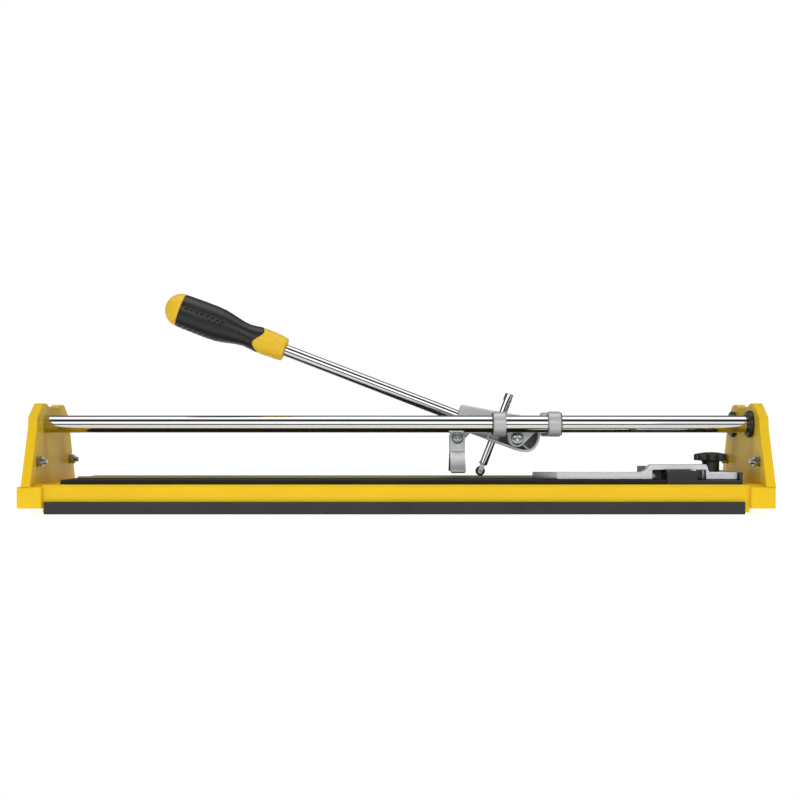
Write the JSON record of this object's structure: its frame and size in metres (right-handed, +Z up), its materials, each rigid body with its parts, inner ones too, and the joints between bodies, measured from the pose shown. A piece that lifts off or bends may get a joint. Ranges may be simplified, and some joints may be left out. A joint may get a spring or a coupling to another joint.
{
  "type": "manual tile cutter",
  "caption": "Manual tile cutter: a long folded steel base with chrome guide rails, a sliding carriage with a scoring lever and breaker foot, and an adjustable side fence.",
  "frame": {"origin": "on the floor under the middle of the object's box", "axes": "+X along the rails towards the fence end, +Y away from the front, +Z up"},
  "size_m": [0.7602, 0.185, 0.2312],
  "materials": {
    "yellow_powder_coat": "satin powder coat",
    "grey_rubber": "matt",
    "black_foam": "matt closed-cell foam",
    "zinc_steel": "bright zinc plate",
    "chrome": "polished",
    "black_plastic": "fine moulded",
    "fence_aluminium": "extruded, satin",
    "cast_alloy": "die cast, painted silver",
    "yellow_plastic": "satin moulded",
    "black_rubber": "soft-touch",
    "carbide": "ground",
    "foot_steel": "nickel plated"
  },
  "bodies": {
    "frame": {"base_tray": "yellow_powder_coat", "left_end_shoe": "yellow_powder_coat", "right_end_shoe": "yellow_powder_coat", "front_foot_strip": "grey_rubber", "rear_foot_strip": "grey_rubber", "breaking_rib": "yellow_powder_coat", "front_pad": "black_foam", "rear_pad": "black_foam", "left_end_bracket": "yellow_powder_coat", "right_end_bracket": "yellow_powder_coat", "bracket_bolts": "zinc_steel", "bracket_nuts": "zinc_steel", "bracket_washers": "zinc_steel", "front_rail": "chrome", "rear_rail": "chrome", "front_rail_bushing": "black_plastic", "rear_rail_bushing": "black_plastic", "rail_plugs": "zinc_steel", "rail_end_washers": "zinc_steel", "rail_end_screws": "zinc_steel", "end_stop": "black_plastic", "end_stop_screws": "zinc_steel"},
    "carriage": {"carriage_frame": "cast_alloy", "carriage_liners": "black_plastic", "pivot_bolt": "zinc_steel", "pivot_nut": "zinc_steel", "pivot_washers": "zinc_steel"},
    "lever": {"lever_casting": "cast_alloy", "handle_tube": "chrome", "handle_tube_pin": "zinc_steel", "grip_core": "yellow_plastic", "grip_sleeve": "black_rubber", "spindle_lock_screw": "zinc_steel", "breaker_foot_screw": "zinc_steel", "breaker_foot_nut": "zinc_steel"},
    "spindle": {"wheel_spindle": "chrome", "wheel_axle": "zinc_steel"},
    "wheel": {"scoring_wheel": "carbide"},
    "breaker_foot": {"breaker_foot": "foot_steel", "breaker_foot_washers": "zinc_steel"},
    "fence": {"fence_arm": "fence_aluminium", "fence_saddle": "fence_aluminium", "fence_saddle_screws": "zinc_steel", "fence_washer": "zinc_steel", "fence_clamp_nut": "zinc_steel"},
    "fence_knob": {"fence_knob": "black_plastic", "fence_clamp_stud": "zinc_steel"}
  },
  "joints": [
    {"name": "carriage_slide", "type": "slide", "parent": "frame", "child": "carriage", "axis": [1, 0, 0], "range_m": [-0.38, 0.16]},
    {"name": "lever_hinge", "type": "hinge", "parent": "carriage", "child": "lever", "pos_m": [0.1276, 0, 0.0756], "axis": [0, 1, 0], "range_deg": [0, 22]},
    {"name": "spindle_height", "type": "slide", "parent": "lever", "child": "spindle", "axis": [0.3584, 0, 0.9336], "range_m": [0, 0.015]},
    {"name": "wheel_spin", "type": "hinge", "parent": "spindle", "child": "wheel", "pos_m": [0.08975, 0, 0.04118], "axis": [0, 1, 0], "continuous": true},
    {"name": "breaker_foot_hinge", "type": "hinge", "parent": "lever", "child": "breaker_foot", "pos_m": [0.0648, 0, 0.0762], "axis": [0, 1, 0], "range_deg": [-22, 6]},
    {"name": "fence_slide", "type": "slide", "parent": "frame", "child": "fence", "axis": [0, 1, 0], "range_m": [-0.006, 0.011]},
    {"name": "fence_knob_turn", "type": "hinge", "parent": "fence", "child": "fence_knob", "pos_m": [0.3285, -0.0365, 0.041], "axis": [0, 0, 1], "continuous": true}
  ]
}
